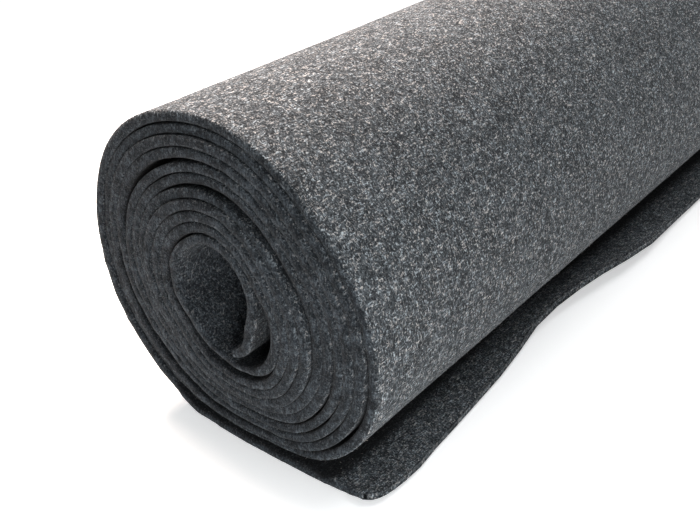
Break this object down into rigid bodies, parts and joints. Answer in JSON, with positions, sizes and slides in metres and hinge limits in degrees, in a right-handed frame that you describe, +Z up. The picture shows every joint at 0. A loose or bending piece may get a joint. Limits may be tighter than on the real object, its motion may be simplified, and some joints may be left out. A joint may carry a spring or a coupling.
{
  "type": "roll of felt",
  "caption": "Roll of thick needle-punched felt, wound without a core, lying on its side with its loose end resting on the floor.",
  "frame": {"origin": "on the floor, under the winding's axis, halfway along the roll", "axes": "+Y along the roll, from the end with the telescoped turns to the far end; +X towards the loose end; +Z up"},
  "size_m": [0.1881, 1.0103, 0.1766],
  "materials": {
    "felt": "matte, dark grey melange, with light and dark fibres mixed"
  },
  "bodies": {
    "root": {"felt_roll": "felt"}
  },
  "joints": []
}
